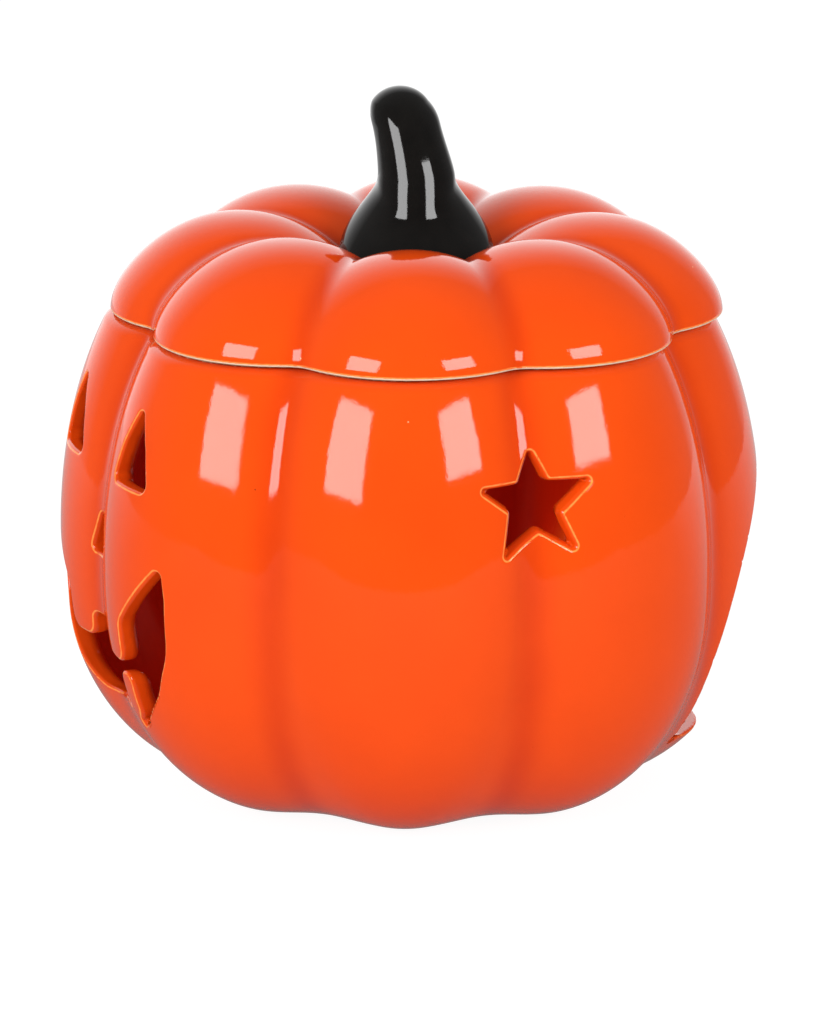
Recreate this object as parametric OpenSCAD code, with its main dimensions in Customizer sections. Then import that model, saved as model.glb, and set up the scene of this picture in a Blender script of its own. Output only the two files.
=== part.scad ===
// Ceramic jack-o'-lantern: eight-lobed hollow body, lift-off lid with a stem,
// and a tealight that goes in through an arched doorway at the back.
// Millimetres. Origin at the centre of the foot, on the ground. +Z is up.
// The face looks towards -Y, the stars look towards +X and -X, the doorway is at +Y.

/* [Body] */
// Width across two opposite lobes
body_w = 150; // [140:1:160]
// Height of the seam between body and lid
seam_z = 102.5; // [98:0.5:106]
// Height at which the body is widest
belly_z = 55; // [50:1:60]
// Thickness of the clay wall
wall = 4.5; // [3.5:0.5:6]
// Radius of one body lobe where the body is widest
lobe_r = 37.2; // [36:0.2:38.4]
// Inside radius of the round opening under the lid
mouth_r = 51; // [50:0.5:52]
// Height of the floor that the tealight stands on
floor_z = 6; // [5.5:0.5:9]
// Radius of the flat foot that it rests on
foot_r = 33; // [30:1:34]

/* [Lid] */
// Radius of one lid lobe at the seam
lid_lobe_r = 28.1; // [27.5:0.1:28.9]
// Height of the lid lobes above the seam
lid_h = 20.5; // [18:0.5:24]
// Depth of the ring that keeps the lid in place
flange_h = 7; // [4:0.5:10]
// Radial play between that ring and the body's opening
flange_play = 1.5; // [0.8:0.1:2]

/* [Stem] */
// Height of the middle of the stem's top above the ground
stem_top_z = 150; // [145:0.5:158]
// Radius of the stem just above its foot
stem_r = 8.3; // [7:0.1:10]
// Radius of the stem at its tip
stem_tip_r = 6.9; // [5.5:0.1:7.5]
// Radius of the stem's foot, where it is luted to the lid
stem_foot_r = 16.5; // [14:0.5:18]
// Lean of the stem towards -X, in degrees
stem_lean = 7.5; // [0:0.5:10]
// Lean of the stem towards the face, in degrees
stem_nod = 2; // [0:0.5:6]

/* [Face] */
// Sideways distance from the centre to the middle of each eye
eye_x = 18.3; // [16:0.1:20]
// Width of an eye along its bottom edge
eye_w = 15.2; // [12:0.1:16]
// Height of the bottom edge of the eyes
eye_z = 75; // [73:0.5:77]
// Height of an eye
eye_h = 16.8; // [13:0.1:18]
// Width of the nose along its bottom edge
nose_w = 7.8; // [6.5:0.1:10]
// Height of the bottom edge of the nose
nose_z = 56; // [55:0.5:58]
// Height of the nose
nose_h = 11; // [8:0.5:12]
// Half of the width of the mouth
grin_x = 33; // [30:0.5:34]
// Height of the lower lip
grin_z = 24; // [23:0.5:26]
// Height of the corners of the mouth
grin_top = 60; // [58:0.5:62]

/* [Star and doorway] */
// Distance of the stars behind the middle of the sides
star_y = 1.6; // [0:0.1:3]
// Height of the centre of the star cut-outs
star_z = 76.7; // [74:0.1:79]
// Distance from the centre of a star to its points
star_r = 13; // [10:0.1:14]
// Distance from the centre of a star to its notches
star_notch_r = 5.7; // [5:0.1:7]
// Distance of the doorway's middle from the centre, towards +X
door_x = 1.6; // [-2:0.1:2]
// Radius of the arched doorway
door_r = 42.9; // [41:0.1:44]
// Height of the centre of the doorway's arch
door_z = 38; // [36:0.5:40]
// Height of the doorway's sill
sill_z = 12.8; // [11:0.1:20]

/* [Tealight] */
// Diameter of the tealight's cup
cup_d = 38; // [37:0.5:39]
// Height of the cup
cup_h = 15.5; // [12:0.5:18]
// Depth of the wax
wax_h = 13; // [10:0.5:16]
// Diameter of the wick
wick_d = 1.8; // [1.2:0.1:2.5]

/* [Hidden] */
$fn = 96;

lobes = 8;
lobe_d = body_w / 2 - lobe_r;         // each lobe's axis from the centre
lobe_base = 0.25;                     // underside of the lobes above the ground
belly_lo = belly_z - lobe_base;       // half-height of a lobe below its belly
belly_hi = 68;                        // half-height of a lobe above it, if whole
base_full = 2.45;                     // power that makes a lobe's lower half full, along z
base_round = 1.8;                     // and along its radius
core_r = lobe_d - 2;                  // solid middle that the lobes grow out of
inner_r = lobe_r - wall;
inner_lo = belly_z - floor_z + 1;
inner_hi = belly_hi - wall;
rim_z = seam_z - wall;                // underside of the ledge around the opening
seat_gap = 0.2;                       // gap between the body's rim and the lid
lid_z = seam_z + seat_gap;
lid_d = lobe_d - 0.5;
crown_full = 1.5;                     // the same for the lid's lobes, along z
crown_round = 2.1;                    // and along their radius
crown_band = 1;                       // upright edge at the foot of the lid's lobes
crown_r = 14.5;                       // middle of the lid, under the stem
crown_z = lid_z + 7;
flange_r = mouth_r - flange_play;
flange_w = 4;
glaze = 0.05;                         // film of glaze between the stem and the lid
root_z = 112;                         // where the stem's leaning axis meets the middle of the lid
neck_h = 19;                          // height of the stem's flared foot above that
flare_h = 16;                         // height over which the foot narrows
tip_curve = 5;                        // rounding of the stem's top edge
far = 200;                            // longer than any dimension of the lantern
cut_r = 1.2;                          // rounding of the corners cut into the wall
tin = 0.4;                            // thickness of the aluminium
fit = 0.05;                           // gap between the tealight's own pieces
tab_r = 6.5;
collar_r = 1.7;
collar_h = 4;
wick_top = 6;                         // length of wick above the wax
pumpkin_orange = "OrangeRed";

// Radius of a bulge that is 1 at t = 0 and 0 at t = 1
function bulge(a, p, q) = [pow(cos(a), 2 / q), pow(sin(a), 2 / p)];

// Half outline of a body lobe, from its foot up to its cut-off top
function lobe_outline(r, lo, hi) = concat(
    [for (i = [0 : 12])
        let (b = bulge(90 - i * 7.5, base_full, base_round))
        [r * b[0], belly_z - lo * b[1]]],
    [for (i = [1 : 7])
        let (b = bulge(i * 8, 2, 2))
        [r * b[0], belly_z + hi * b[1]]]);

// Half outline of a lid lobe, from the seam to its top
function crown_outline(r, h) = concat(
    [[r, lid_z]],
    [for (i = [0 : 10])
        let (b = bulge(i * 9, crown_full, crown_round))
        [r * b[0], lid_z + crown_band + (h - crown_band) * b[1]]]);

// The points of a closed outline [x, y, corner radius], with its corners rounded
function rounded(pts, steps = 5) = [
    for (i = [0 : len(pts) - 1])
        let (
            n = len(pts),
            b = [pts[i][0], pts[i][1]],
            a = [pts[(i + n - 1) % n][0], pts[(i + n - 1) % n][1]] - b,
            c = [pts[(i + 1) % n][0], pts[(i + 1) % n][1]] - b,
            u = a / norm(a),
            v = c / norm(c),
            half = acos(u * v) / 2,
            r = pts[i][2],
            mid = b + (u + v) / norm(u + v) * r / sin(half),
            s = b + u * r / tan(half) - mid,
            e = b + v * r / tan(half) - mid
        )
        for (k = [0 : steps])
            let (w = s * (1 - k / steps) + e * (k / steps))
            mid + w / norm(w) * r
];

module around(d) {
    for (k = [0 : lobes - 1])
        rotate([0, 0, (k + 0.5) * 360 / lobes])
            translate([d, 0, 0])
                children();
}

module disc(r, z0, z1) {
    translate([0, 0, z0]) cylinder(r = r, h = z1 - z0);
}

module ring(r_out, r_in, z0, z1) {
    difference() {
        disc(r_out, z0, z1);
        disc(r_in, z0 - 1, z1 + 1);
    }
}

// A solid of revolution from a half outline that starts and ends off the axis
module turned(outline) {
    first = outline[0];
    last = outline[len(outline) - 1];
    rotate_extrude()
        polygon(concat([[0, first[1]]], [for (p = outline) if (p[0] > 0.001) p], [[0, last[1]]]));
}

// Cuts a flat outline through the wall, towards the direction at angle az
module cut(az) {
    rotate([0, 0, az])
        rotate([90, 0, 0])
            linear_extrude(far) children();
}

module eye_shape() {
    polygon(rounded([
        [-eye_w / 2, eye_z, 1.6], [eye_w / 2, eye_z, 1.6],
        [eye_w / 4 + 0.8, eye_z + eye_h / 2, 12], [0, eye_z + eye_h, cut_r],
        [-eye_w / 4 - 0.8, eye_z + eye_h / 2, 12]
    ]));
}

module nose_shape() {
    polygon(rounded([
        [-nose_w / 2, nose_z, cut_r], [nose_w / 2, nose_z, cut_r],
        [0, nose_z + nose_h, cut_r]
    ]));
}

// A grin with two upper teeth and one lower tooth on the star's side
module grin_shape() {
    z = grin_z;
    t = grin_top;
    polygon(rounded([
        [-grin_x + 1, t, 1], [-grin_x, t - 10, 8], [-grin_x + 2, t - 20, 12],
        [-grin_x + 12, z + 5, 12], [-8, z + 0.4, 12], [12.4, z + 1.4, 2],
        [13.2, z + 10.2, 2.4], [19.4, z + 10.8, 2.4], [18.4, z + 1.2, 3],
        [16.4, z - 1.2, 0.5], [16.9, z - 2.4, 0.5], [19.8, z - 0.8, 2.5],
        [grin_x - 4.4, z + 8.2, 12], [grin_x - 0.2, z + 18.5, 14], [grin_x - 0.2, t - 6, 6],
        [grin_x - 1.4, t + 0.6, 1], [17, t - 14.5, 4], [17, t - 23.8, 3.5],
        [5.5, t - 23.8, 3.5], [4.5, t - 18, 2], [-4.5, t - 18, 2], [-5.5, t - 23.8, 3.5],
        [-15.5, t - 23.8, 3.5], [-15.5, t - 14.5, 4]
    ]));
}

module star_shape() {
    polygon(rounded([
        for (i = [0 : 9])
            let (r = i % 2 == 0 ? star_r : star_notch_r, a = 90 + i * 36)
            [r * cos(a), star_z + r * sin(a), i % 2 == 0 ? 0.6 : 0.9]
    ]));
}

module doorway_shape() {
    difference() {
        translate([-door_x, door_z]) circle(r = door_r);
        translate([-far / 2, sill_z - far]) square(far);
    }
}

module body_solid() {
    difference() {
        union() {
            around(lobe_d) turned(lobe_outline(lobe_r, belly_lo, belly_hi));
            turned([[foot_r, 0], [foot_r, lobe_base + 1], [core_r, lobe_base + 5], [core_r, seam_z]]);
        }
        disc(far, seam_z, far);
    }
}

module body_hollow() {
    intersection() {
        union() {
            around(lobe_d) turned(lobe_outline(inner_r, inner_lo, inner_hi));
            disc(core_r, 0, far);
        }
        disc(far, floor_z, rim_z);
    }
    disc(mouth_r, rim_z - 1, far);
}

module body_shell() {
    color(pumpkin_orange) difference() {
        body_solid();
        body_hollow();
        for (s = [-1, 1]) cut(0) translate([s * eye_x, 0]) eye_shape();
        cut(0) nose_shape();
        cut(0) grin_shape();
        for (s = [1, -1]) cut(90 * s) translate([s * star_y, 0]) star_shape();
        cut(180) doorway_shape();
    }
}

// Outside of the lid, grown by a film of glaze when the stem is fitted to it
module lid_solid(film = 0) {
    around(lid_d) turned(crown_outline(lid_lobe_r + film, lid_h + film));
    disc(crown_r + film, lid_z, crown_z + film);
}

module lid_shell() {
    color(pumpkin_orange) {
        difference() {
            lid_solid();
            intersection() {
                union() {
                    around(lid_d) turned(crown_outline(lid_lobe_r - wall, lid_h - wall));
                    disc(core_r - 2, 0, crown_z - wall);
                }
                disc(far, lid_z + wall, far);
            }
            disc(flange_r - flange_w, 0, lid_z + wall + 0.5);
        }
        ring(flange_r, flange_r - flange_w, seam_z - flange_h, lid_z + 1);
    }
}

// Half outline of the stem along its axis: a foot swept out in a smooth curve, a column
// that narrows upwards, and a rounded tip
function stem_outline() = let (h = stem_top_z - root_z, r = stem_tip_r, e = tip_curve) concat(
    [[stem_foot_r, -5]],
    [for (i = [0 : 12])
        let (s = i / 12)
        [stem_foot_r - (stem_foot_r - stem_r) * (1 - cos(180 * s)) / 2,
            neck_h - flare_h * (1 - s)]],
    [[r + 0.5, h * 0.7], [r, h - e]],
    [for (a = [15 : 15 : 90]) [r - e + e * cos(a), h - e + e * sin(a)]]);

module stem() {
    color("#1a1614") difference() {
        translate([0, 0, root_z]) rotate([stem_nod, -stem_lean, 0]) turned(stem_outline());
        lid_solid(glaze);
    }
}

module tealight_cup() {
    color("Silver") difference() {
        disc(cup_d / 2, floor_z + fit, floor_z + cup_h);
        disc(cup_d / 2 - tin, floor_z + fit + tin, far);
    }
}

module tealight_wax() {
    base = floor_z + tin + 2 * fit;
    color("Ivory") difference() {
        disc(cup_d / 2 - tin - fit, base, base + wax_h);
        disc(tab_r + fit, base - 1, base + tin + fit);
        disc(collar_r + fit, base, base + collar_h + fit);
        disc(wick_d / 2 + fit, base, far);
    }
}

module tealight_wick() {
    base = floor_z + tin + 2 * fit;
    color("WhiteSmoke") disc(wick_d / 2, base + tin, base + wax_h + wick_top);
}

module wick_tab() {
    base = floor_z + tin + 2 * fit;
    color("Gainsboro") difference() {
        union() {
            disc(tab_r, base, base + tin);
            disc(collar_r, base, base + collar_h);
        }
        disc(wick_d / 2 + fit, base + tin - fit, far);
    }
}

body_shell();
lid_shell();
stem();
tealight_cup();
tealight_wax();
tealight_wick();
wick_tab();
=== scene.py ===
"""Looks for the ceramic jack-o'-lantern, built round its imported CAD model.

The glazed pieces are described as distance fields in millimetres, with soft grooves and rounded
edges. Each starts as an even mesh of its CAD node, which is then pulled onto the field.
"""

import math

import bmesh
import bpy
import numpy as np
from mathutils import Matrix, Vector


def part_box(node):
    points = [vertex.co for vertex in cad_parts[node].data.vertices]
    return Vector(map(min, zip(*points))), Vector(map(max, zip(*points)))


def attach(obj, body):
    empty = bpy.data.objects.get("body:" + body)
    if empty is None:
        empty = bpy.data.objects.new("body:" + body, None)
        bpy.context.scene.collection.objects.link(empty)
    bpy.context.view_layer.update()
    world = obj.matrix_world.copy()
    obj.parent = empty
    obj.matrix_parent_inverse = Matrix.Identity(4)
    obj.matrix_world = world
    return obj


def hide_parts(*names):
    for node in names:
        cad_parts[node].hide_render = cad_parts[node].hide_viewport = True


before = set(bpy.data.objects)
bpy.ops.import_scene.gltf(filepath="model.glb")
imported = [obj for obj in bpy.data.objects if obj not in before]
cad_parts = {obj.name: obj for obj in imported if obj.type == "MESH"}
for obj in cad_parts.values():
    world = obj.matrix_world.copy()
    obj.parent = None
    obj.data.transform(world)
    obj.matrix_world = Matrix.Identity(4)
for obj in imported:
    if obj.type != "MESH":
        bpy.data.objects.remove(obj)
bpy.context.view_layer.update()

MM = 0.001


def node_box(node):
    """Lowest and highest corner of a CAD node, in millimetres."""
    low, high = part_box(node)
    return np.array(low) / MM, np.array(high) / MM


body_high = node_box("body_shell")[1]
lid_low, lid_high = node_box("lid_shell")
stem_high = node_box("stem")[1]
cup_low, cup_high = node_box("tealight_cup")
wax_low, wax_high = node_box("tealight_wax")
wick_low, wick_high = node_box("tealight_wick")
tab_low, tab_high = node_box("wick_tab")

# Body
LOBES = 8
LOBE_TURN = 2 * math.pi / LOBES
LOBE_R = 37.2
LOBE_D = (body_high[0] - LOBE_R) / math.cos(LOBE_TURN / 2)
SEAM_Z = body_high[2]
SEAM_ROUND = 1.7
# A lobe is widest at BELLY_Z; its hidden tip is BELLY_HI above that
BELLY_Z = 55.0
BELLY_HI = 68.0
LOBE_BASE = 0.25
BASE_SHAPE = (2.45, 1.8)
TOP_SHAPE = (2, 2)
WALL = 4.5
CORE_R = LOBE_D - 2
FOOT_R = 33.0
FOOT_BLEND = 3.0
FOOT_ROUND = 0.8
FOOT_OUTLINE = ((0, LOBE_BASE + 1, LOBE_BASE + 5), (FOOT_R, FOOT_R, CORE_R))
FLOOR_Z = cup_low[2]
RIM_Z = SEAM_Z - WALL
MOUTH_R = 51.0
INNER_GROOVE = 4.0
FLOOR_ROUND = 4.0
# Heights, and how far the crease between two lobes is filled there
BODY_GROOVE = ((3, 14, 35, 60), (10, 7, 3.4, 2.2))

# Lid
LID_Z = SEAM_Z + 0.2
LID_D = LOBE_D - 0.5
LID_LOBE_R = 27.8
# A lobe's full height, which the creases at the crown cut down
LID_H = lid_high[2] - LID_Z + 0.35
LID_UPRIGHT = 5.9
LID_ACROSS = 2.15
LID_ALONG = 1.13
# Distances from the axis, and how far the crease between two lobes is filled there
LID_GROOVE = ((16, 56), (1.2, 3.0))
CROWN_R = 14.5
CROWN_Z = LID_Z + 7
FLANGE_R = MOUTH_R - 1.5
FLANGE_W = 4.0
FLANGE_Z = lid_low[2]
# The lid's outer edge stops short of the body by the lip, and the lid sits a little off centre
LID_LIP = 0.5
LID_SHIFT = (0.46, 1.2, 0)

# Stem
STEM_TOP = stem_high[2]
STEM_TIP_R = 7.2
STEM_TAPER = 1.05
STEM_FLARE = 8.2
DOME_H = 7.5
NECK_Z = 132.0
NECK_DIP = 5.6
FOOT_RISE = 18.0
STEM_FORWARD = 0.8
# Heights where the stem's lean changes, and half the change of its slope per millimetre
STEM_BENDS = ((116, 0.013), (126, -0.013), (135, 0.0165), (143, -0.052))
STEM_BACK = (-0.935, 0.355)
STEM_SWAY = 3.7
STEM_GAP = 0.12

# Cut-outs, as [across, height, corner radius]
EYE_X = 18.3
EYE = ((-7.6, 75, 1.6), (7.6, 75, 1.6), (4.6, 83.4, 12), (0, 91.8, 1.2), (-4.6, 83.4, 12))
NOSE = ((-3.9, 56, 1.2), (3.9, 56, 1.2), (0, 67, 1.2))
GRIN = (
    (-32, 60, 1), (-33, 50, 8), (-31, 40, 12), (-21, 29, 12), (-8, 24.4, 12), (12.4, 25.4, 2),
    (13.2, 34.2, 2.4), (19.4, 34.8, 2.4), (18.1, 25.8, 3), (15.9, 23.4, 0.5), (16.3, 22.2, 0.5),
    (19.4, 23.8, 2.5), (28.0, 32.5, 12), (32.5, 42.2, 16), (32.6, 54, 8), (31.6, 60.6, 1),
    (17, 45.5, 4), (17, 36.2, 3.5), (5.5, 36.2, 3.5), (4.5, 42, 2), (-4.5, 42, 2),
    (-5.5, 36.2, 3.5), (-15.5, 36.2, 3.5), (-15.5, 45.5, 4),
)
STAR_Y = 1.6
STAR_Z = 76.7
# Points and notches of the hand-cut star, as [distance, angle in degrees, corner radius]
STAR = (
    (13.4, 22, 0.6), (5.6, 60, 0.9), (11.3, 91, 0.6), (5.7, 128, 0.9), (14.0, 161, 0.6),
    (6.1, 189, 0.9), (13.5, 234, 0.6), (5.4, 274, 0.9), (13.5, 310, 0.7), (5.2, 340, 0.9),
)
# How much smaller the star is on the inside of the wall, for each millimetre of depth
STAR_TAPER = 0.25
DOOR_X = 1.6
DOOR_R = 42.9
DOOR_Z = 38.0
SILL_Z = 12.8
CUT_ROUND = 0.9
INNER_ROUND = 2.2


# ---------------------------------------------------------------- distance fields, in millimetres

def smooth_min(a, b, width):
    """The union of two fields, with the crease between them filled over width."""
    blend = np.maximum(width - np.abs(a - b), 0) / width
    return np.minimum(a, b) - blend * blend * width / 4


def round_max(a, b, radius):
    """The intersection of two fields, with its edge rounded."""
    reach = np.hypot(np.maximum(radius + a, 0), np.maximum(radius + b, 0))
    return np.minimum(-radius, np.maximum(a, b)) + reach


def bulge(across, along, radius, half, full, rounding):
    """Distance outside a solid of revolution whose half outline is a superellipse."""
    u = np.abs(across) / radius
    v = np.abs(along) / half
    value = u**rounding + v**full - 1
    slope = np.hypot(rounding * u ** (rounding - 1) / radius, full * v ** (full - 1) / half)
    return value / np.maximum(slope, 0.02)


def lobe_reach(p, distance):
    """Distance of each point from the nearest lobe's axis and from the next one's."""
    turn = np.mod(np.arctan2(p[:, 1], p[:, 0]) - LOBE_TURN / 2, LOBE_TURN)
    near = np.minimum(turn, LOBE_TURN - turn)
    middle = np.hypot(p[:, 0], p[:, 1])
    return [
        np.sqrt(np.maximum(middle**2 + distance**2 - 2 * middle * distance * np.cos(a), 0))
        for a in (near, LOBE_TURN - near)
    ]


def body_lobe(reach, z, inset):
    """One body lobe, or its hollow when it is inset by the wall."""
    low = bulge(reach, z - BELLY_Z, LOBE_R - inset, BELLY_Z - LOBE_BASE - inset, *BASE_SHAPE)
    high = bulge(reach, z - BELLY_Z, LOBE_R - inset, BELLY_HI - inset, *TOP_SHAPE)
    return np.where(z < BELLY_Z, low, high)


def body_outside(p):
    middle = np.hypot(p[:, 0], p[:, 1])
    z = p[:, 2]
    near, further = (body_lobe(r, z, 0) for r in lobe_reach(p, LOBE_D))
    lobes = smooth_min(near, further, np.interp(z, *BODY_GROOVE))
    standing = smooth_min(lobes, middle - np.interp(z, *FOOT_OUTLINE), FOOT_BLEND)
    return round_max(standing, -z, FOOT_ROUND)


def body_hollow(p):
    middle = np.hypot(p[:, 0], p[:, 1])
    z = p[:, 2]
    near, further = (body_lobe(r, z, WALL) for r in lobe_reach(p, LOBE_D))
    hollow = smooth_min(smooth_min(near, further, INNER_GROOVE), middle - CORE_R, 2)
    hollow = round_max(hollow, FLOOR_Z - z, FLOOR_ROUND)
    hollow = round_max(hollow, z - RIM_Z, 2)
    mouth = np.maximum(middle - MOUTH_R, RIM_Z - 1 - z)
    return smooth_min(hollow, mouth, 1)


def body_solid(p):
    return round_max(body_outside(p), p[:, 2] - SEAM_Z, SEAM_ROUND)


class Outline:
    """Signed distance from a closed outline, anticlockwise, of lines joined by arcs."""

    def __init__(self, corners):
        corners = np.array(corners, float)
        point = corners[:, :2]
        self.radius = corners[:, 2]
        back = self.unit(np.roll(point, 1, 0) - point)
        ahead = self.unit(np.roll(point, -1, 0) - point)
        half = np.arccos(np.sum(back * ahead, 1)) / 2
        inward = self.unit(back + ahead)
        trim = (self.radius / np.tan(half))[:, None]
        self.centre = point + inward * (self.radius / np.sin(half))[:, None]
        self.towards = -inward
        self.span = np.sin(half)
        self.turn = np.sign(-back[:, 0] * ahead[:, 1] + back[:, 1] * ahead[:, 0])
        self.start = point + ahead * trim
        self.end = np.roll(point + back * trim, -1, 0)
        self.along = self.unit(self.end - self.start)
        self.length = np.linalg.norm(self.end - self.start, axis=1)
        self.low = point.min(0)
        self.high = point.max(0)

    @staticmethod
    def unit(v):
        return v / np.linalg.norm(v, axis=1)[:, None]

    def __call__(self, u, v):
        outside = np.maximum(np.maximum(self.low[0] - u, u - self.high[0]),
                             np.maximum(self.low[1] - v, v - self.high[1]))
        close = outside < 4
        result = outside.copy()
        result[close] = self.near(u[close], v[close])
        return result

    def near(self, u, v):
        best = np.full(len(u), 1e3)
        for (x, y), (dx, dy), length in zip(self.start, self.along, self.length):
            t = np.clip((u - x) * dx + (v - y) * dy, 0, length)
            side = np.sign(dy * (u - x) - dx * (v - y))
            signed = side * np.hypot(u - x - t * dx, v - y - t * dy)
            best = np.where(np.abs(signed) < np.abs(best), signed, best)
        arcs = zip(self.centre, self.towards, self.radius, self.span, self.turn)
        for (x, y), (tx, ty), radius, span, turn in arcs:
            reach = np.hypot(u - x, v - y)
            signed = turn * (reach - radius)
            facing = (u - x) * tx + (v - y) * ty >= span * reach
            best = np.where(facing & (np.abs(signed) < np.abs(best)), signed, best)
        return best


def star_corners():
    turns = [math.radians(angle) for _, angle, _ in STAR]
    return [
        (STAR_Y + reach * math.cos(turn), STAR_Z + reach * math.sin(turn), radius)
        for (reach, _, radius), turn in zip(STAR, turns)
    ]


eye, nose, grin, star = Outline(EYE), Outline(NOSE), Outline(GRIN), Outline(star_corners())


def body_cuts(p):
    """The face, the two stars and the doorway, as one field that is below 0 in the openings."""
    x, y, z = p.T
    face = np.minimum(eye(x - EYE_X, z), eye(x + EYE_X, z))
    face = np.minimum(np.minimum(face, nose(x, z)), grin(x, z))
    face = np.maximum(face, y + LOBE_D / 2)
    taper = STAR_TAPER * np.maximum(-body_outside(p), 0)
    sides = np.maximum(star(y, z) + taper, LOBE_D / 2 - np.abs(x))
    arch = np.hypot(x - DOOR_X, z - DOOR_Z) - DOOR_R
    door = round_max(round_max(arch, SILL_Z - z, 3), -y, 1)
    return np.minimum(np.minimum(face, sides), door)


def body_field(p):
    pierced = round_max(body_solid(p), -body_cuts(p), CUT_ROUND)
    inner = np.interp(p[:, 2], (SEAM_Z - 8, SEAM_Z - 5), (INNER_ROUND, 0.8))
    return round_max(pierced, -body_hollow(p), inner)


def lid_lobe(reach, z):
    """One lobe of the lid, upright at the seam and curving in above it."""
    height = np.maximum(z - LID_Z, 0)
    eased = np.hypot(height, LID_UPRIGHT) - LID_UPRIGHT
    top = math.hypot(LID_H, LID_UPRIGHT) - LID_UPRIGHT
    u = reach / LID_LOBE_R
    v = eased / top
    value = u**LID_ACROSS + v**LID_ALONG - 1
    upward = LID_ALONG * np.maximum(v, 1e-6) ** (LID_ALONG - 1) / top
    upward = upward * height / np.hypot(height, LID_UPRIGHT)
    slope = np.hypot(LID_ACROSS * u ** (LID_ACROSS - 1) / LID_LOBE_R, upward)
    return value / np.maximum(slope, 0.02)


def lid_outside(p):
    middle = np.hypot(p[:, 0], p[:, 1])
    near, further = (lid_lobe(r, p[:, 2]) for r in lobe_reach(p, LID_D))
    groove = np.interp(middle, *LID_GROOVE)
    crown = np.maximum(middle - CROWN_R, p[:, 2] - CROWN_Z)
    return smooth_min(smooth_min(near, further, groove), crown, 2)


def lid_hollow(p):
    z = p[:, 2]
    hollow = round_max(lid_outside(p) + WALL, LID_Z + WALL - z, 2)
    mouth = round_max(np.hypot(p[:, 0], p[:, 1]) - FLANGE_R + FLANGE_W, z - LID_Z - WALL - 0.5, 1)
    return smooth_min(hollow, mouth, 1.5)


def lid_field(p):
    middle = np.hypot(p[:, 0], p[:, 1])
    z = p[:, 2]
    ring = FLANGE_R - FLANGE_W
    under = LID_Z + np.interp(lid_outside(p), (-3, -0.6), (0, LID_LIP)) - z
    shell = round_max(round_max(lid_outside(p), under, 0.5), -lid_hollow(p), 0.8)
    flange = round_max(np.abs(middle - ring - FLANGE_W / 2) - FLANGE_W / 2,
                       np.abs(z - (FLANGE_Z + LID_Z + 1) / 2) - (LID_Z + 1 - FLANGE_Z) / 2, 0.8)
    return smooth_min(shell, flange, 0.8)


def stem_centre(z):
    """Where the stem's centre line is at a height: it leans back to -X and nods towards -Y."""
    back = sum(amount * np.maximum(z - start, 0) ** 2 for start, amount in STEM_BENDS) - STEM_FORWARD
    nod = STEM_SWAY * np.clip((z - NECK_Z) / (STEM_TOP - 3 - NECK_Z), 0, 1) ** 1.25
    return STEM_BACK[0] * back, STEM_BACK[1] * back - nod


def stem_field(p):
    z = p[:, 2]
    x, y = stem_centre(z)
    reach = np.hypot(p[:, 0] - x, p[:, 1] - y)
    behind = ((p[:, 0] - x) * STEM_BACK[0] + (p[:, 1] - y) * STEM_BACK[1]) / np.maximum(reach, 1)
    neck = NECK_Z + NECK_DIP * behind
    u = np.clip((neck - z) / FOOT_RISE, 0, 1)
    flare = u**3 * (10 - 15 * u + 6 * u * u)
    ease = np.clip((142 - z) / 13, 0, 1)
    radius = STEM_TIP_R + 0.05 + STEM_TAPER * ease * ease * (3 - 2 * ease) + STEM_FLARE * flare
    over = np.maximum(z - (STEM_TOP - DOME_H), 0)
    column = bulge(reach, over, radius, DOME_H, 2.2, 2)
    return round_max(column, STEM_GAP - lid_outside(p), 0.8)


# ---------------------------------------------------------------- meshes on those fields

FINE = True
PROBES = np.array(((1, 1, 1), (1, -1, -1), (-1, 1, -1), (-1, -1, 1)), float)
PROBE_STEP = 0.02


def sample(field, points):
    """A field's value and slope at each point, from four probes round it."""
    values = [field(points + PROBE_STEP * probe) for probe in PROBES]
    slope = sum(v[:, None] * probe for v, probe in zip(values, PROBES)) / (4 * PROBE_STEP)
    return sum(values) / 4, slope


def settle(field, points, rounds=8):
    """Moves points onto the field's surface, up to 1 mm in each round."""
    loose = np.arange(len(points))
    for _ in range(rounds):
        value, slope = sample(field, points[loose])
        steep = np.maximum(np.sum(slope**2, 1), 0.05)[:, None]
        push = value[:, None] * slope / steep
        far = np.linalg.norm(push, axis=1)
        push /= np.maximum(far, 1)[:, None]
        points[loose] -= push
        loose = loose[far > 0.002]
    return points


def relax(points, edges, normals):
    """Evens out the spacing of points along the surface."""
    ends = np.concatenate((edges, edges[:, ::-1]))
    count = np.bincount(ends[:, 0], minlength=len(points))
    mean = np.stack([np.bincount(ends[:, 0], points[ends[:, 1], i], len(points)) for i in range(3)], 1)
    shift = mean / np.maximum(count, 1)[:, None] - points
    shift -= np.sum(shift * normals, 1)[:, None] * normals
    return points + 0.6 * shift


def read_points(mesh):
    points = np.empty(len(mesh.vertices) * 3)
    mesh.vertices.foreach_get("co", points)
    return points.reshape(-1, 3) / MM


def write_points(mesh, points):
    mesh.vertices.foreach_set("co", (points * MM).ravel())
    mesh.update()


def unit_slope(field, points):
    slope = sample(field, points)[1]
    return slope / np.maximum(np.linalg.norm(slope, axis=1), 1e-6)[:, None]


def remeshed(node, voxel):
    """A new object: an even mesh of quads over a CAD node."""
    copy = bpy.data.objects.new("remesh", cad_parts[node].data.copy())
    bpy.context.scene.collection.objects.link(copy)
    modifier = copy.modifiers.new("even", "REMESH")
    modifier.mode = "VOXEL"
    modifier.voxel_size = voxel * MM
    evaluated = copy.evaluated_get(bpy.context.evaluated_depsgraph_get())
    mesh = bpy.data.meshes.new_from_object(evaluated)
    bpy.data.objects.remove(copy)
    return mesh


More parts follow.
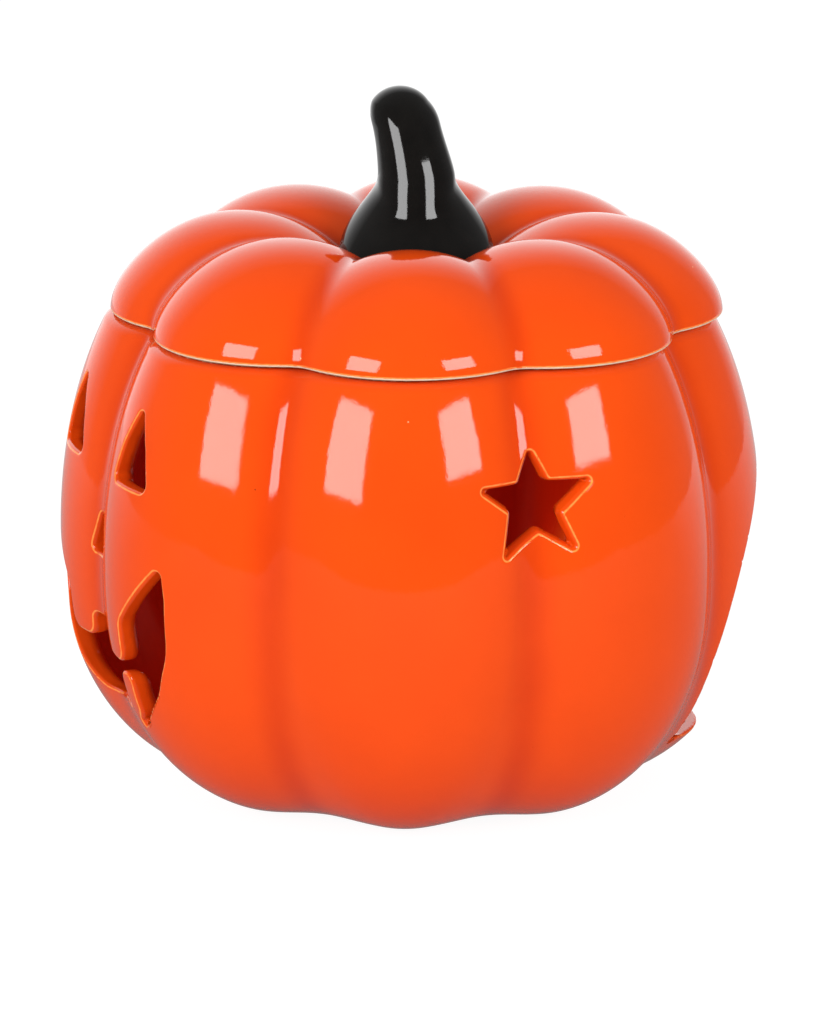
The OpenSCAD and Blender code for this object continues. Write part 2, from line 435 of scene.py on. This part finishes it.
def refine(mesh, field, sharp, width):
    """Splits the edges that lie within width of the field's sharp places."""
    close = sharp(read_points(mesh)) < width
    work = bmesh.new()
    work.from_mesh(mesh)
    split = [e for e in work.edges if close[e.verts[0].index] and close[e.verts[1].index]]
    bmesh.ops.subdivide_edges(work, edges=split, cuts=1, use_grid_fill=True)
    work.to_mesh(mesh)
    work.free()
    points = settle(field, read_points(mesh), 5)
    write_points(mesh, points)


def field_mesh(name, node, field, sharp, marks, voxel=1.0, levels=(1.9, 1.1), shift=(0, 0, 0)):
    """A piece for a CAD node, pulled onto a field, finer where it is sharp, with marks for its glaze."""
    mesh = remeshed(node, voxel if FINE else 1.6 * voxel)
    points = settle(field, read_points(mesh))
    edges = np.array([e.vertices[:] for e in mesh.edges])
    for _ in range(3):
        points = relax(points, edges, unit_slope(field, points))
        points = settle(field, points, 3)
    write_points(mesh, points)
    for width in levels if FINE else levels[:1]:
        refine(mesh, field, sharp, width)
    points = read_points(mesh)
    mesh.materials.clear()
    for mark, values in marks(points).items():
        attribute = mesh.attributes.new(mark, "FLOAT", "POINT")
        attribute.data.foreach_set("value", values.astype(np.float32))
    mesh.polygons.foreach_set("use_smooth", np.ones(len(mesh.polygons), bool))
    mesh.normals_split_custom_set_from_vertices(unit_slope(field, points))
    write_points(mesh, points + shift)
    return add_piece(name, mesh)


def add_piece(name, mesh):
    piece = bpy.data.objects.new(name, mesh)
    bpy.context.scene.collection.objects.link(piece)
    return piece


def peak(value, width):
    """1 where value is 0, falling smoothly to 0 at width."""
    t = np.clip(1 - np.abs(value) / width, 0, 1)
    return t * t * (3 - 2 * t)


def rise(value, low, high):
    t = np.clip((value - low) / (high - low), 0, 1)
    return t * t * (3 - 2 * t)


def groove_width(p, distance, lobe):
    """How far a point is from the valley between two lobes."""
    near, further = (lobe(r, p[:, 2]) for r in lobe_reach(p, distance))
    return np.abs(near - further)


def body_groove(p):
    return groove_width(p, LOBE_D, lambda r, z: body_lobe(r, z, 0))


def body_sharp(p):
    """Distance from the nearest cut edge, groove, or edge of the seam or the mouth."""
    skin = np.minimum(np.abs(body_solid(p)), np.abs(body_hollow(p)))
    cuts = np.hypot(skin, np.abs(body_cuts(p)))
    rim = np.abs(p[:, 2] - SEAM_Z)
    seam = np.hypot(rim, body_outside(p))
    mouth = np.hypot(rim, np.hypot(p[:, 0], p[:, 1]) - MOUTH_R)
    valley = np.hypot(body_outside(p), 0.5 * body_groove(p)) + 0.1
    return np.minimum(np.minimum(cuts, valley), np.minimum(seam, mouth))


def inner_share(outside, hollow):
    """0 on the outside of a wall, 1 on its inside, and rising across a cut through it."""
    depth = np.abs(outside)
    return rise(depth / (depth + np.abs(hollow) + 0.01), 0.7, 1.0)


def body_marks(p):
    """edge: cut edges, where the glaze runs thin, with a painted highlight along their outer crest;
    bare: unglazed clay; groove: between lobes, where the glaze is darkened as painted shade; inside: the
    inside of the wall, a darker red as painted shade.
    """
    outside, cuts = body_outside(p), body_cuts(p)
    # thin glaze at the cut edges, made stronger on the outer crest as a painted highlight
    crest = peak(0.52 - cuts, 0.45) * rise(outside, -0.6, -0.35)
    ledge = rise(p[:, 2], SEAM_Z - 0.5, SEAM_Z - 0.1) * rise(-outside, 1.6, 2.6)
    under = rise(-p[:, 2], -0.5, -0.1)
    inside = inner_share(outside, body_hollow(p))
    return {"edge": crest, "bare": np.maximum(ledge, under),
            "groove": peak(body_groove(p), 5) * (1 - inside), "inside": inside}


def lid_sharp(p):
    rim = np.hypot(p[:, 2] - LID_Z - LID_LIP, lid_outside(p))
    ring = np.abs(p[:, 2] - FLANGE_Z)
    foot = np.hypot(ring, np.maximum(np.hypot(p[:, 0], p[:, 1]) - FLANGE_R, 0)) + 0.8
    valley = np.hypot(lid_outside(p), 0.5 * groove_width(p, LID_D, lid_lobe)) + 0.6
    return np.minimum(np.minimum(rim, foot), valley)


def lid_marks(p):
    z = p[:, 2]
    inside = inner_share(lid_outside(p), lid_hollow(p))
    glazed = (np.abs(lid_hollow(p)) < 0.6) & (z > LID_Z + WALL)
    bare = rise(LID_Z + LID_LIP + 0.5 - z, 0, 0.15)
    groove = peak(groove_width(p, LID_D, lid_lobe), 4)
    return {"edge": peak(z - LID_Z - LID_LIP - 0.6, 0.35) * (1 - glazed), "bare": bare,
            "groove": groove * (1 - inside), "inside": inside}


def stem_sharp(p):
    return np.abs(lid_outside(p) - STEM_GAP) + 0.3


def stem_marks(p):
    return {"edge": peak(lid_outside(p) - 0.4, 0.5)}


# ---------------------------------------------------------------- tealight

def turned_mesh(name, outline, steps, ripple=None):
    """A closed solid of revolution; ripple gives the change of radius at an angle and outline place."""
    work = bmesh.new()
    rings = []
    for place, (radius, z) in enumerate(outline):
        if radius == 0:
            rings.append([work.verts.new((0, 0, z * MM))])
            continue
        ring = []
        for k in range(steps):
            turn = 2 * math.pi * k / steps
            r = radius + (ripple(turn, place) if ripple else 0)
            ring.append(work.verts.new((r * math.cos(turn) * MM, r * math.sin(turn) * MM, z * MM)))
        rings.append(ring)
    for low, high in zip(rings, rings[1:]):
        for k in range(steps):
            after = (k + 1) % steps
            if len(low) == 1:
                work.faces.new((low[0], high[after], high[k]))
            elif len(high) == 1:
                work.faces.new((low[k], low[after], high[0]))
            else:
                work.faces.new((low[k], low[after], high[after], high[k]))
    bmesh.ops.recalc_face_normals(work, faces=work.faces)
    for face in work.faces:
        face.smooth = True
    mesh = bpy.data.meshes.new(name)
    work.to_mesh(mesh)
    work.free()
    return add_piece(name, mesh)


def arc(radius, z, size, start, end, steps=6):
    """Points of an arc round (radius, z), from one angle in degrees to another."""
    turns = [math.radians(start + (end - start) * k / steps) for k in range(steps + 1)]
    return [(radius + size * math.cos(t), z + size * math.sin(t)) for t in turns]


# Radius of the cup's rolled rim, which stands that far proud of its wall
CUP_ROLL = 0.55
CUP_TIN = 0.3
FLUTES = 44
FLUTE_DEPTH = 0.26


def cup_piece():
    """A drawn foil cup: a rolled rim as wide as the cup, with a fluted wall set in under it."""
    radius, base, top = cup_high[0], cup_low[2], cup_high[2]
    outer = radius - CUP_ROLL
    inner = outer - CUP_TIN
    levels = np.linspace(base + 1.6, top - 1.6, 10)
    outline = [(0, base), (radius - 6, base)]
    outline += [(radius - 5.4, base + 0.35), (radius - 3.2, base + 0.35), (radius - 2.4, base)]
    outline += arc(outer - 1.2, base + 1.2, 1.2, -90, 0)
    first = len(outline)
    outline += [(outer, z) for z in levels]
    outline += arc(outer, top - CUP_ROLL, CUP_ROLL, -60, 180, 10)
    outline += [(inner, z) for z in levels[::-1]]
    outline += arc(inner - 0.9, base + 1.2, 0.9, 0, -90)
    outline += [(0, base + CUP_TIN)]

    def flute(turn, place):
        share = np.clip((place - first) / (len(levels) - 1), 0, 1)
        fade = max(0.0, math.sin(math.pi * share)) ** 0.5
        return FLUTE_DEPTH / 2 * fade * (math.cos(FLUTES * turn) - 1)

    return turned_mesh("tealight_cup_pressed", outline, FLUTES * 8, flute)


def wax_piece():
    """Wax poured to the fluted wall: a shallow dish that climbs at the wall and at the wick."""
    radius, base, top = wax_high[0] - CUP_ROLL, wax_low[2], wax_high[2]
    wick = wick_high[0] + 0.05
    outline = [(wick + 0.05, base + 4.2), (wick + 6.0, base + 4.1), (wick + 6.0, base + 0.6)]
    outline += [(radius - 0.8, base + 0.55)] + arc(radius - 1.25, base + 1.8, 1.2, -80, 0)
    outline += [(radius - 0.05, base + 6), (radius - 0.05, top - 0.2), (radius - 0.12, top)]
    for k in range(1, 25):
        share = k / 24
        r = (radius - 0.12) * (1 - share) + wick * share
        climb = 0.9 * math.exp(-(radius - r) / 0.8) + 0.7 * math.exp(-(r - wick) / 0.7)
        sink = 0.35 * math.cos(math.pi * r / radius)
        outline.append((r, top - 0.9 - sink * 0.6 + climb))
    outline.append(outline[0])
    work = turned_mesh("tealight_wax_poured", outline, 96)
    clean = bmesh.new()
    clean.from_mesh(work.data)
    bmesh.ops.remove_doubles(clean, verts=clean.verts, dist=1e-7)
    bmesh.ops.recalc_face_normals(clean, faces=clean.faces)
    clean.to_mesh(work.data)
    clean.free()
    return work


def wick_piece():
    """Three strands wound round each other, stiff with wax."""
    base, top = wick_low[2], wick_high[2]
    radius = wick_high[0]
    curve = bpy.data.curves.new("wick", "CURVE")
    curve.dimensions = "3D"
    curve.bevel_depth = 0.52 * radius * MM
    curve.bevel_resolution = 4
    curve.use_fill_caps = True
    steps, winds = 90, 5.5
    for strand in range(3):
        line = curve.splines.new("POLY")
        line.points.add(steps - 1)
        for k, point in enumerate(line.points):
            share = k / (steps - 1)
            turn = 2 * math.pi * (winds * share + strand / 3)
            lean = 0.5 * share**3
            reach = 0.48 * radius * (1 - 0.35 * share**12)
            point.co = ((reach * math.cos(turn) + lean) * MM, reach * math.sin(turn) * MM,
                        (base + 0.3 + (top - base - 0.6) * share) * MM, 1)
    holder = bpy.data.objects.new("wick_curve", curve)
    bpy.context.scene.collection.objects.link(holder)
    mesh = bpy.data.meshes.new_from_object(holder.evaluated_get(bpy.context.evaluated_depsgraph_get()))
    bpy.data.objects.remove(holder)
    mesh.polygons.foreach_set("use_smooth", np.ones(len(mesh.polygons), bool))
    return add_piece("tealight_wick_braided", mesh)


def tab_piece():
    radius, base, top = tab_high[0], tab_low[2], tab_high[2]
    bore, collar, sheet = wick_high[0] + 0.05, 1.7, 0.4
    outline = [(bore, base), (radius - 0.15, base)] + arc(radius - 0.15, base + 0.15, 0.15, -60, 60, 4)
    outline += [(4.6, base + sheet), (4.3, base + 0.62), (3.7, base + 0.62), (3.4, base + sheet)]
    outline += arc(collar + 0.5, base + sheet + 0.5, 0.5, -90, -180, 4)
    outline += [(collar - 0.1, top - 0.6), (collar - 0.3, top)] + [(bore, top), (bore, base)]
    return turned_mesh("wick_tab_pressed", outline, 64)


# ---------------------------------------------------------------- materials

class Nodes:
    """Short calls for building one material's nodes."""

    def __init__(self, tree):
        self.tree = tree

    def add(self, kind, inputs=None, **settings):
        node = self.tree.nodes.new("ShaderNode" + kind)
        for name, value in settings.items():
            setattr(node, name, value)
        for name, value in (inputs or {}).items():
            if isinstance(value, bpy.types.NodeSocket):
                self.tree.links.new(value, node.inputs[name])
            else:
                node.inputs[name].default_value = value
        return node

    def math(self, operation, a, b=0.0, clamp=False):
        return self.add("Math", {0: a, 1: b}, operation=operation, use_clamp=clamp).outputs[0]

    def halved(self, value):
        """A value from -1 to 1, moved to the range from 0 to 1."""
        return self.add("MapRange", {"Value": value, 1: -1.0, 2: 1.0}).outputs[0]

    def place(self):
        """The point in the row frame, in millimetres."""
        where = self.add("NewGeometry").outputs["Position"]
        local = self.add("VectorTransform", {0: where}, vector_type="POINT",
                         convert_from="WORLD", convert_to="OBJECT").outputs[0]
        return self.add("VectorMath", {0: local, 1: (1 / MM,) * 3}, operation="MULTIPLY").outputs[0]

    def noise(self, size, detail=2.0, rough=0.5, squeeze=(1, 1, 1)):
        """Smooth noise whose features are about size millimetres across."""
        where = self.add("VectorMath", {0: self.place(), 1: squeeze}, operation="MULTIPLY").outputs[0]
        return self.add("TexNoise", {"Vector": where, "Scale": 1 / size, "Detail": detail,
                                     "Roughness": rough}).outputs["Fac"]

    def steps(self, value, *stops):
        """A ramp from (position, grey or colour) stops."""
        ramp = self.add("ValToRGB", {"Fac": value})
        line = ramp.color_ramp.elements
        while len(line) < len(stops):
            line.new(0.5)
        for element, (position, colour) in zip(line, stops):
            element.position = position
            element.color = (colour,) * 3 + (1,) if isinstance(colour, (int, float)) else (*colour, 1)
        return ramp.outputs["Color"]

    def mix(self, share, a, b):
        node = self.add("Mix", data_type="RGBA")
        for socket, value in zip((node.inputs[0], node.inputs[6], node.inputs[7]), (share, a, b)):
            if isinstance(value, bpy.types.NodeSocket):
                self.tree.links.new(value, socket)
            else:
                socket.default_value = value if isinstance(value, float) else (*value, 1)
        return node.outputs[2]

    def blend(self, share, a, b):
        """A number between a and b."""
        return self.add("Mix", {0: share, 2: a, 3: b}).outputs[0]

    def spread(self, noise, amount):
        """Noise from 0 to 1, moved to lie evenly round 0."""
        return self.math("MULTIPLY", self.math("SUBTRACT", noise, 0.5), amount)

    def mark(self, name):
        return self.add("Attribute", attribute_name=name).outputs["Fac"]

    def dots(self, spacing, size, share):
        """Round specks: share of the cells of a given spacing hold one."""
        cells = self.add("TexVoronoi", {"Vector": self.place(), "Scale": 1 / spacing})
        small = self.math("LESS_THAN", cells.outputs["Distance"], size / spacing)
        pick = self.add("SeparateColor", {0: cells.outputs["Color"]}).outputs[0]
        return self.math("MULTIPLY", small, self.math("LESS_THAN", pick, share))

    def bump(self, height, depth, under=None):
        """Bump whose height of 1 is depth millimetres."""
        inputs = {"Height": height, "Distance": depth * MM, "Strength": 1.0}
        if under is not None:
            inputs["Normal"] = under
        return self.add("Bump", inputs).outputs["Normal"]


def new_material(name):
    material = bpy.data.materials.new(name)
    material.use_nodes = True
    material.node_tree.nodes.clear()
    return material, Nodes(material.node_tree)


def put_surface(n, inputs):
    shader = n.add("BsdfPrincipled", inputs)
    out = n.add("OutputMaterial")
    n.tree.links.new(shader.outputs[0], out.inputs["Surface"])


ORANGE = (0.86, 0.0755, 0.004)
# ORANGE_DEEP is a darker tone the glaze takes at random, and also the painted shade in the grooves
ORANGE_DEEP = (0.70, 0.049, 0.003)
# Lighter orange where the glaze runs thin at edges, also used as a painted highlight along the crest of
# the cuts
THIN_GLAZE_AND_HIGHLIGHT = (1.0, 0.33, 0.07)
CLAY = (0.82, 0.68, 0.50)
BLACK = (0.004, 0.0037, 0.0035)
# INSIDE and INSIDE_DEEP are painted shade: they make the inside of the wall a darker, redder orange than
# the outside
INSIDE = (0.80, 0.021, 0.0012)
INSIDE_DEEP = (0.70, 0.014, 0.001)


def orange_glaze():
    material, n = new_material("orange_glaze")
    cloud = n.steps(n.noise(22, 3), (0.3, 0.0), (0.75, 1.0))
    # painted shade: the glaze darkens towards ORANGE_DEEP in the grooves between lobes, on the body and
    # the lid
    painted_groove_shade = n.math("MULTIPLY", n.mark("groove"), 0.75)
    deep = n.math("ADD", n.math("MULTIPLY", cloud, 0.3), painted_groove_shade, clamp=True)
    inside = n.mark("inside")
    streak = n.noise(1.6, 3, 0.6, (1, 1, 0.06))
    # painted shade: the inside of each wall is coloured a darker red, with streaks
    painted_cavity_shade = n.mix(streak, INSIDE, INSIDE_DEEP)
    colour = n.mix(inside, n.mix(deep, ORANGE, ORANGE_DEEP), painted_cavity_shade)
    # lighter where the glaze runs thin at edges, with a painted highlight along the outer crest of the
    # cuts
    ragged = n.math("ADD", n.mark("edge"), n.spread(n.noise(1.3, 4), 0.9))
    thin = n.steps(n.math("MULTIPLY", ragged, n.mark("edge")), (0.25, 0.0), (0.95, 1.0))
    colour = n.mix(thin, colour, THIN_GLAZE_AND_HIGHLIGHT)
    colour = n.mix(n.dots(9, 0.16, 0.16), colour, (0.25, 0.02, 0.004))
    colour = n.mix(n.dots(7, 0.2, 0.1), colour, (1.0, 0.42, 0.2))
    wobble = n.spread(n.noise(2.2, 4), 0.7)
    bare = n.steps(n.math("ADD", n.mark("bare"), wobble), (0.45, 0.0), (0.6, 1.0))
    clay = n.mix(n.noise(0.7, 4), CLAY, (0.66, 0.50, 0.34))
    colour = n.mix(bare, colour, clay)
    rough = n.blend(bare, n.blend(inside, 0.055, 0.305), 0.8)
    shine = n.blend(inside, 0.5, 0.12)
    ripple = n.bump(n.noise(1.3, 3, 0.6, (1, 1, 0.6)), 0.016)
    wave = n.bump(n.noise(9, 2), 0.03, ripple)
    pits = n.bump(n.dots(5, 0.22, 0.12), -0.05, wave)
    grit = n.bump(n.math("MULTIPLY", n.noise(0.35, 3, 0.7), bare), 0.12, pits)
    put_surface(n, {"Base Color": colour, "Roughness": rough, "IOR": 1.5, "Normal": grit,
                    "Specular IOR Level": shine})
    return material


def black_glaze():
    material, n = new_material("black_glaze")
    colour = n.mix(n.noise(4, 4), BLACK, (0.009, 0.008, 0.007))
    colour = n.mix(n.steps(n.mark("edge"), (0.5, 0.0), (1.0, 0.5)), colour, (0.05, 0.012, 0.006))
    colour = n.mix(n.dots(4.5, 0.16, 0.22), colour, (0.5, 0.5, 0.48))
    ripple = n.bump(n.noise(0.45, 3, 0.7), 0.005)
    wave = n.bump(n.noise(5, 2), 0.02, ripple)
    put_surface(n, {"Base Color": colour, "Roughness": 0.06, "IOR": 1.52, "Normal": wave})
    return material


def aluminium():
    material, n = new_material("cup_aluminium")
    scratched = n.noise(0.5, 5, 0.75)
    colour = n.mix(scratched, (0.86, 0.86, 0.87), (0.74, 0.74, 0.76))
    rough = n.steps(scratched, (0.3, 0.22), (0.8, 0.4))
    put_surface(n, {"Base Color": colour, "Metallic": 1.0, "Roughness": rough,
                    "Normal": n.bump(scratched, 0.01)})
    return material


def wax():
    material, n = new_material("wax")
    cloud = n.noise(5, 4, 0.6)
    colour = n.mix(cloud, (0.93, 0.90, 0.82), (0.84, 0.79, 0.68))
    put_surface(n, {"Base Color": colour, "Roughness": n.steps(cloud, (0.3, 0.32), (0.7, 0.5)),
                    "Subsurface Weight": 0.6, "Subsurface Radius": (1.0, 0.8, 0.5),
                    "Subsurface Scale": 2.5 * MM, "Normal": n.bump(n.noise(1.4, 4), 0.03)})
    return material


def wick_cotton():
    material, n = new_material("wick_cotton")
    fibre = n.noise(0.18, 4, 0.7)
    colour = n.mix(fibre, (0.9, 0.88, 0.82), (0.62, 0.58, 0.5))
    put_surface(n, {"Base Color": colour, "Roughness": 0.8, "Sheen Weight": 0.4,
                    "Normal": n.bump(fibre, 0.05)})
    return material


def tab_steel():
    material, n = new_material("tab_steel")
    fleck = n.noise(0.3, 4, 0.7)
    colour = n.mix(fleck, (0.62, 0.62, 0.62), (0.46, 0.46, 0.47))
    rough = n.steps(fleck, (0.3, 0.25), (0.7, 0.45))
    put_surface(n, {"Base Color": colour, "Metallic": 1.0, "Roughness": rough,
                    "Normal": n.bump(fleck, 0.008)})
    return material


# ---------------------------------------------------------------- pieces on their bodies

def dress(piece, material, body, node):
    piece.data.materials.clear()
    piece.data.materials.append(material)
    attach(piece, body)
    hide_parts(node)


orange = orange_glaze()
shell = field_mesh("body_glazed", "body_shell", body_field, body_sharp, body_marks)
dress(shell, orange, "lantern", "body_shell")
cover = field_mesh("lid_glazed", "lid_shell", lid_field, lid_sharp, lid_marks, shift=LID_SHIFT)
dress(cover, orange, "lid", "lid_shell")
stalk = field_mesh("stem_glazed", "stem", stem_field, stem_sharp, stem_marks, 0.6, (1.3,), LID_SHIFT)
dress(stalk, black_glaze(), "lid", "stem")
dress(cup_piece(), aluminium(), "tealight", "tealight_cup")
dress(wax_piece(), wax(), "tealight", "tealight_wax")
dress(wick_piece(), wick_cotton(), "tealight", "tealight_wick")
dress(tab_piece(), tab_steel(), "tealight", "wick_tab")


# ---------------------------------------------------------------- studio

# The camera's azimuth and elevation in degrees, its distance and aim in metres, its lens in mm
CAMERA_TURN = 69.2
CAMERA_RISE = 15.02
CAMERA_FAR = 1.4203
CAMERA_LENS = 232.97
CAMERA_SIDE = -0.165 * MM
CAMERA_AIM = 58.29 * MM
ROOM_GLOW = 1.4
DOME_LOW = 0.57
DOME_TOP = 0.67
# The table ends this far towards the camera, and this far from the object all round
TABLE_EDGE = 0.43
TABLE_REACH = 0.7


def direction(turn, height):
    """Unit vector towards an azimuth, 0 being -Y, and an elevation, in degrees."""
    a, e = math.radians(turn), math.radians(height)
    return Vector((math.sin(a) * math.cos(e), -math.cos(a) * math.cos(e), math.sin(e)))


def add_camera():
    back = direction(CAMERA_TURN, CAMERA_RISE)
    right = direction(CAMERA_TURN + 90, 0)
    data = bpy.data.cameras.new("camera")
    data.lens = CAMERA_LENS
    data.sensor_width = 36
    data.clip_start, data.clip_end = 0.05, 20
    camera = bpy.data.objects.new("camera", data)
    camera.location = Vector((0, 0, CAMERA_AIM)) + right * CAMERA_SIDE + back * CAMERA_FAR
    camera.rotation_mode = "QUATERNION"
    camera.rotation_quaternion = (-back).to_track_quat("-Z", "Y")
    bpy.context.scene.collection.objects.link(camera)
    bpy.context.scene.camera = camera


def add_panel(name, left, right, low, high, power):
    """A softbox that fills a window of directions, in degrees from the camera's azimuth."""
    far = 1.1
    aim = direction(CAMERA_TURN + (left + right) / 2, (low + high) / 2)
    data = bpy.data.lights.new(name, "AREA")
    data.shape = "RECTANGLE"
    data.size = 2 * far * math.tan(math.radians(right - left) / 2)
    data.size_y = 2 * far * math.tan(math.radians(high - low) / 2)
    data.energy = power
    lamp = bpy.data.objects.new(name, data)
    lamp.location = aim * far + Vector((0, 0, BELLY_Z * MM))
    lamp.rotation_mode = "QUATERNION"
    lamp.rotation_quaternion = aim.to_track_quat("Z", "Y")
    lamp.visible_camera = False
    bpy.context.scene.collection.objects.link(lamp)


def add_world():
    """White to the camera, even light on the object, and in its glaze a room that is dark
    overhead and round the camera and bright beyond."""
    world = bpy.data.worlds.new("studio")
    world.use_nodes = True
    world.node_tree.nodes.clear()
    n = Nodes(world.node_tree)
    way = n.add("TexCoord").outputs["Generated"]
    height = n.add("SeparateXYZ", {0: way}).outputs["Z"]
    brightest = direction(CAMERA_TURN + 190, 5)[:]
    toward = n.add("VectorMath", {0: way, 1: brightest}, operation="DOT_PRODUCT").outputs["Value"]
    room = n.steps(n.halved(toward), (0.0, 0.03), (0.4, 0.06), (0.78, 0.13), (0.87, 0.42),
                   (0.94, 0.75), (1.0, 1.0))
    room = n.add("VectorMath", {0: room, 1: (ROOM_GLOW,) * 3}, operation="MULTIPLY").outputs[0]
    dome = n.steps(n.halved(height), (0.0, DOME_LOW), (0.5, DOME_LOW), (1.0, DOME_TOP))
    path = n.add("LightPath")
    lit = n.mix(path.outputs["Is Glossy Ray"], dome, room)
    colour = n.mix(path.outputs["Is Camera Ray"], lit, (1.0, 1.0, 1.0))
    background = n.add("Background", {"Color": colour, "Strength": 1.0})
    out = n.add("OutputWorld")
    n.tree.links.new(background.outputs[0], out.inputs["Surface"])
    bpy.context.scene.world = world


def add_floor():
    """A pale floor; in the glaze it is a glow of painted light that darkens towards the camera, with
    painted shade close in front of the object, and it ends at the table's edge.
    """
    size = 6.0
    mesh = bpy.data.meshes.new("floor")
    corners = [(-size, -size, 0), (size, -size, 0), (size, size, 0), (-size, size, 0)]
    mesh.from_pydata(corners, [], [(0, 1, 2, 3)])
    floor = add_piece("floor", mesh)
    material, n = new_material("floor")
    path = n.add("LightPath")
    where = n.add("NewGeometry").outputs["Position"]
    front = direction(CAMERA_TURN, 0)[:]
    reach = n.add("VectorMath", {0: where, 1: front}, operation="DOT_PRODUCT").outputs["Value"]
    grain = n.add("TexNoise", {"Vector": where, "Scale": 300.0, "Detail": 4.0}).outputs["Fac"]
    plain = n.add("BsdfDiffuse", {"Color": n.mix(grain, (0.86, 0.86, 0.86), (0.8, 0.8, 0.8))})
    lift = n.add("Emission", {"Color": (1, 1, 1, 1), "Strength": 1.15})
    lifted = n.math("MULTIPLY", path.outputs["Is Camera Ray"], 0.82)
    shown = n.add("MixShader", {0: lifted, 1: plain.outputs[0], 2: lift.outputs[0]})
    place = n.add("MapRange", {"Value": reach, 1: TABLE_EDGE, 2: -TABLE_EDGE}).outputs[0]
    # painted light: in reflections the floor glows by this ramp instead of being lit, dimmest just in
    # front of the object as painted shade
    glow = n.steps(place, (0.0, 0.28), (0.4, 0.2), (0.55, 0.26), (0.75, 0.5), (1.0, 0.7))
    painted_floor_glow = n.add("Emission", {"Color": (1, 1, 1, 1), "Strength": glow})
    away = n.add("VectorMath", {0: where}, operation="LENGTH").outputs["Value"]
    past = n.math("GREATER_THAN", away, TABLE_REACH)
    gone = n.math("MAXIMUM", n.math("GREATER_THAN", reach, TABLE_EDGE), past)
    clear = n.add("BsdfTransparent")
    table = n.add("MixShader", {0: gone, 1: painted_floor_glow.outputs[0], 2: clear.outputs[0]})
    glossy = path.outputs["Is Glossy Ray"]
    both = n.add("MixShader", {0: glossy, 1: shown.outputs[0], 2: table.outputs[0]})
    out = n.add("OutputMaterial")
    n.tree.links.new(both.outputs[0], out.inputs["Surface"])
    mesh.materials.append(material)


add_camera()
add_world()
add_floor()
add_panel("softbox_left", -55, -28, 8.7, 32, 5.9)
add_panel("softbox_right", 29, 54, 13.7, 32, 4.4)
bpy.context.scene.view_settings.view_transform = "Standard"
